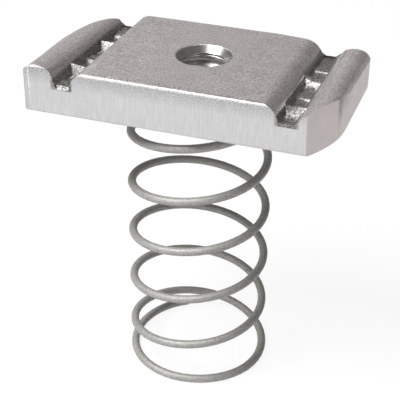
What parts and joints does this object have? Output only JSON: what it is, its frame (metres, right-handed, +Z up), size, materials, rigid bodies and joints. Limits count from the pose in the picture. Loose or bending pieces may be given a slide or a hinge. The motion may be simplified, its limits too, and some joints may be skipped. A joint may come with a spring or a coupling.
{
  "type": "strut spring nut",
  "caption": "Rectangular channel nut with two toothed grooves and a tapped hole, carried on a coil spring seated in its underside.",
  "frame": {"origin": "on the axis of the spring, at its foot; the tapped hole is 0.4 mm to +X of it", "axes": "+Z up through the tapped hole, +X along the nut's length, -Y towards the front long side"},
  "size_m": [0.0346, 0.019, 0.0398],
  "materials": {
    "plated_nut": "zinc plated, fine speckle",
    "spring_wire": "drawn and plated spring wire"
  },
  "bodies": {
    "spring": {"coil_spring": "spring_wire"},
    "nut": {"nut_body": "plated_nut"}
  },
  "joints": [
    {"name": "spring_press", "type": "slide", "parent": "spring", "child": "nut", "axis": [0, 0, -1], "range_m": [0, 0.026], "stiffness_N_per_m": 390, "springref_m": -0.0007, "deforming": ["coil_spring"]}
  ]
}
